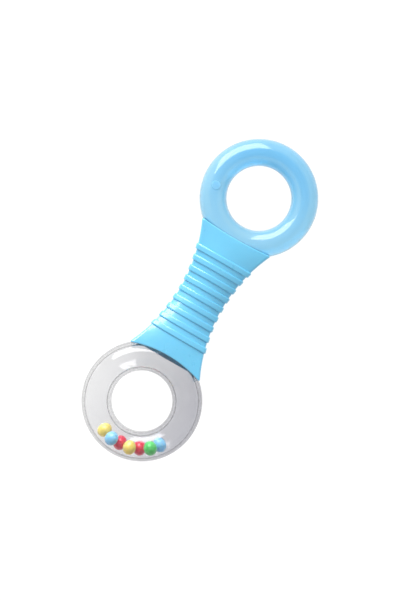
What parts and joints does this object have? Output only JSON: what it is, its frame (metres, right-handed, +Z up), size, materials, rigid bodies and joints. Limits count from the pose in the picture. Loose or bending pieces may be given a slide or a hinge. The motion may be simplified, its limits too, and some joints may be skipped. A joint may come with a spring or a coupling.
{
  "type": "baby rattle with water teether ring",
  "caption": "Hand rattle for a baby: ribbed grip between a clear ring with small rolling balls and a soft water-filled teether ring.",
  "frame": {"origin": "on the surface the rattle lies on, below the middle of its overall length", "axes": "+Y along the grip from the clear rattle ring to the teether ring, +Z up through the thickness (front face up), +X to the right"},
  "size_m": [0.0546, 0.16, 0.0168],
  "materials": {
    "clear_plastic": "clear polished moulded plastic",
    "teether_skin": "soft translucent light blue, smooth",
    "teether_water": "light blue tinted water",
    "grip_plastic": "glossy light blue",
    "ball_yellow": "glossy yellow",
    "ball_blue": "glossy light blue",
    "ball_red": "glossy crimson",
    "ball_green": "glossy green"
  },
  "bodies": {
    "root": {"rattle_ring_front": "clear_plastic", "rattle_ring_back": "clear_plastic", "teether_skin_front": "teether_skin", "teether_skin_back": "teether_skin", "teether_plug": "teether_skin", "teether_water": "teether_water", "grip_front": "grip_plastic", "grip_back": "grip_plastic"},
    "ball_yellow_1_body": {"ball_yellow_1": "ball_yellow"},
    "ball_blue_1_body": {"ball_blue_1": "ball_blue"},
    "ball_red_1_body": {"ball_red_1": "ball_red"},
    "ball_yellow_2_body": {"ball_yellow_2": "ball_yellow"},
    "ball_red_2_body": {"ball_red_2": "ball_red"},
    "ball_green_1_body": {"ball_green_1": "ball_green"},
    "ball_blue_2_body": {"ball_blue_2": "ball_blue"}
  },
  "joints": [
    {"name": "ball_yellow_1_roll", "type": "hinge", "parent": "root", "child": "ball_yellow_1_body", "pos_m": [0, -0.05265, 0.0084], "axis": [0, 0, 1], "continuous": true},
    {"name": "ball_blue_1_roll", "type": "hinge", "parent": "ball_yellow_1_body", "child": "ball_blue_1_body", "pos_m": [0, -0.05265, 0.0084], "axis": [0, 0, 1], "range_deg": [0, 44]},
    {"name": "ball_red_1_roll", "type": "hinge", "parent": "ball_blue_1_body", "child": "ball_red_1_body", "pos_m": [0, -0.05265, 0.0084], "axis": [0, 0, 1], "range_deg": [0, 44]},
    {"name": "ball_yellow_2_roll", "type": "hinge", "parent": "ball_red_1_body", "child": "ball_yellow_2_body", "pos_m": [0, -0.05265, 0.0084], "axis": [0, 0, 1], "range_deg": [0, 44]},
    {"name": "ball_red_2_roll", "type": "hinge", "parent": "ball_yellow_2_body", "child": "ball_red_2_body", "pos_m": [0, -0.05265, 0.0084], "axis": [0, 0, 1], "range_deg": [0, 44]},
    {"name": "ball_green_1_roll", "type": "hinge", "parent": "ball_red_2_body", "child": "ball_green_1_body", "pos_m": [0, -0.05265, 0.0084], "axis": [0, 0, 1], "range_deg": [0, 44]},
    {"name": "ball_blue_2_roll", "type": "hinge", "parent": "ball_green_1_body", "child": "ball_blue_2_body", "pos_m": [0, -0.05265, 0.0084], "axis": [0, 0, 1], "range_deg": [0, 44]}
  ]
}
